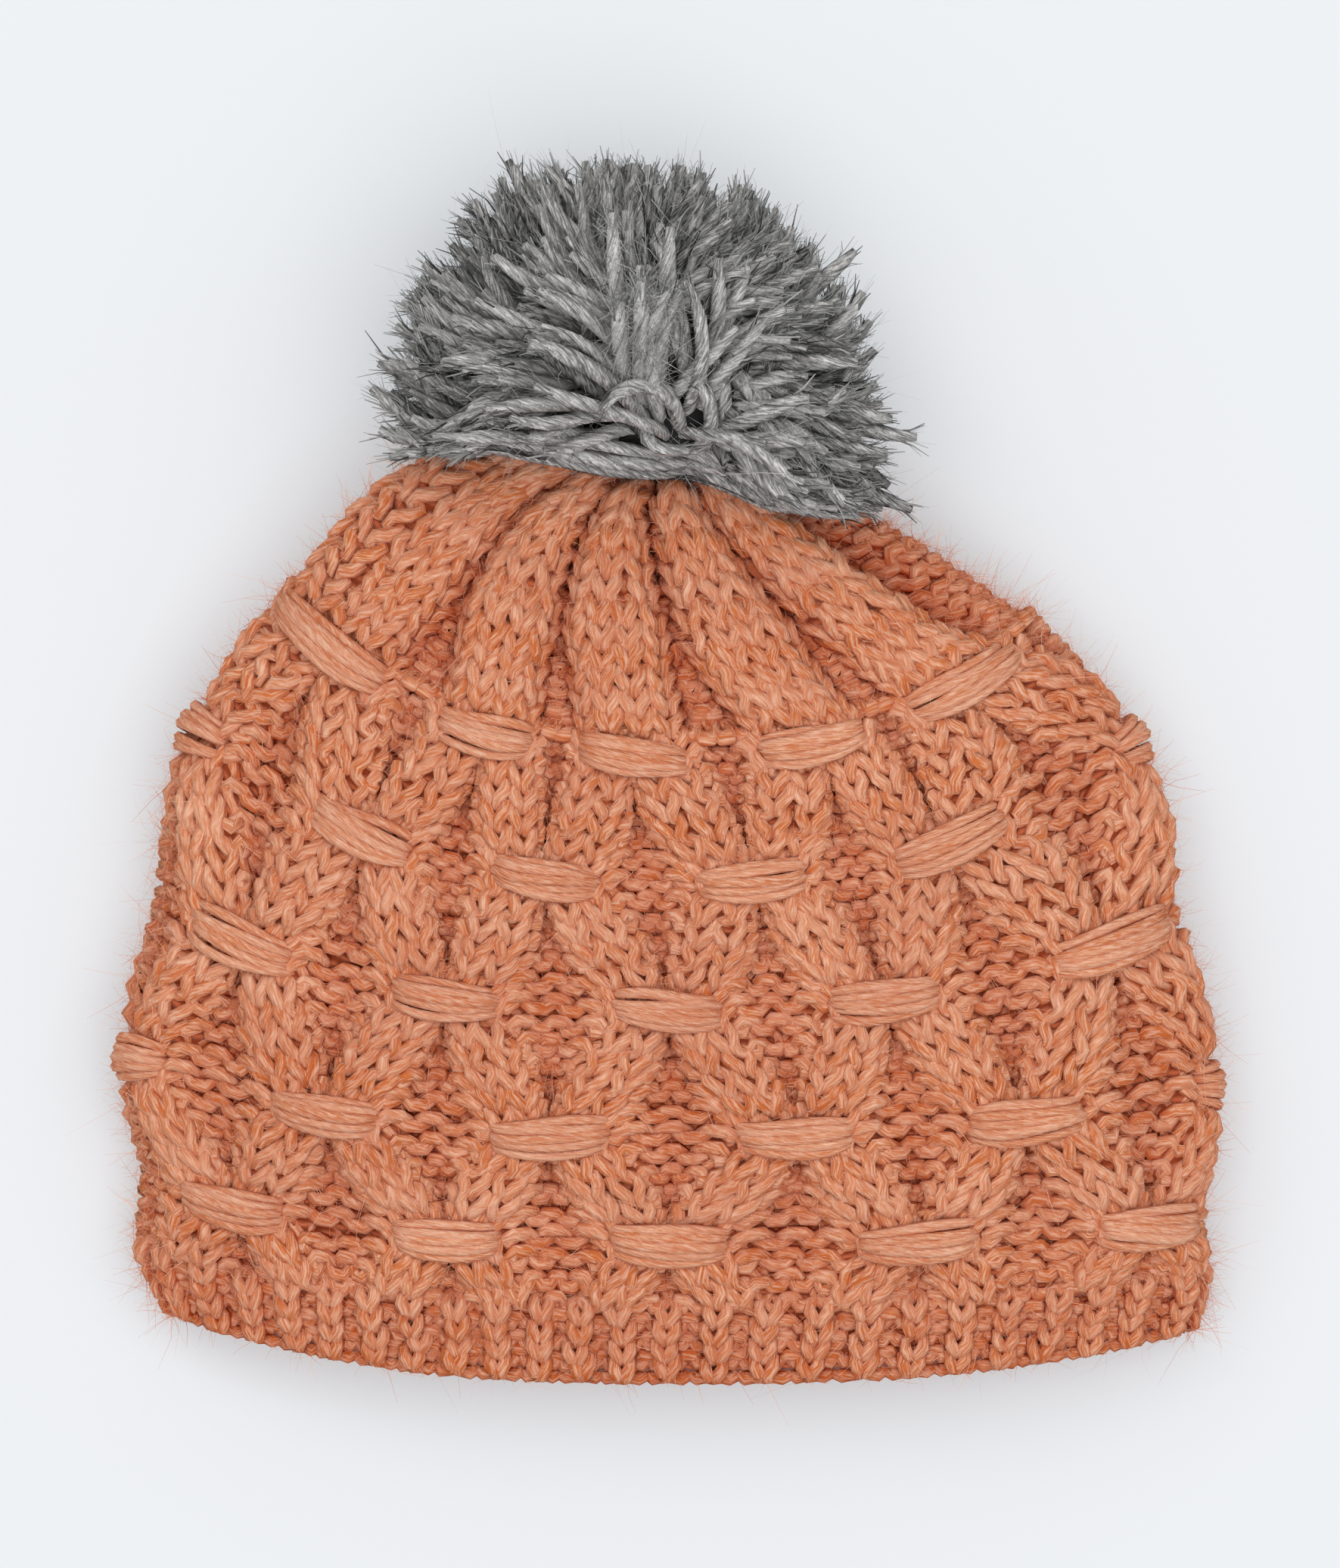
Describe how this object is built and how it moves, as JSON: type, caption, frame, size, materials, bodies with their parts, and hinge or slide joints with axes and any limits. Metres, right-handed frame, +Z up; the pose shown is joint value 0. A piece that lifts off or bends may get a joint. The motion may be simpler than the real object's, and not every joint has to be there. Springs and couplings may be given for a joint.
{
  "type": "pom-pom hat",
  "caption": "Hand-knitted winter hat with a ribbed hem, smocked diamond pattern and a round yarn pompom on the crown, lying flat.",
  "frame": {"origin": "on the surface the hat lies on, below the middle of its outline", "axes": "+Z up, out of the front of the hat; +Y from the hem to the pompom; +X to the right as the front is seen from above"},
  "size_m": [0.2305, 0.2526, 0.0881],
  "materials": {
    "hat_wool": "thick soft terracotta wool, slightly fuzzy",
    "pompom_wool": "thick heathered grey wool, cut ends, slightly fuzzy"
  },
  "bodies": {
    "root": {"knit_body": "hat_wool", "ribbed_hem": "hat_wool", "pompom": "pompom_wool", "pompom_tie": "hat_wool"}
  },
  "joints": []
}
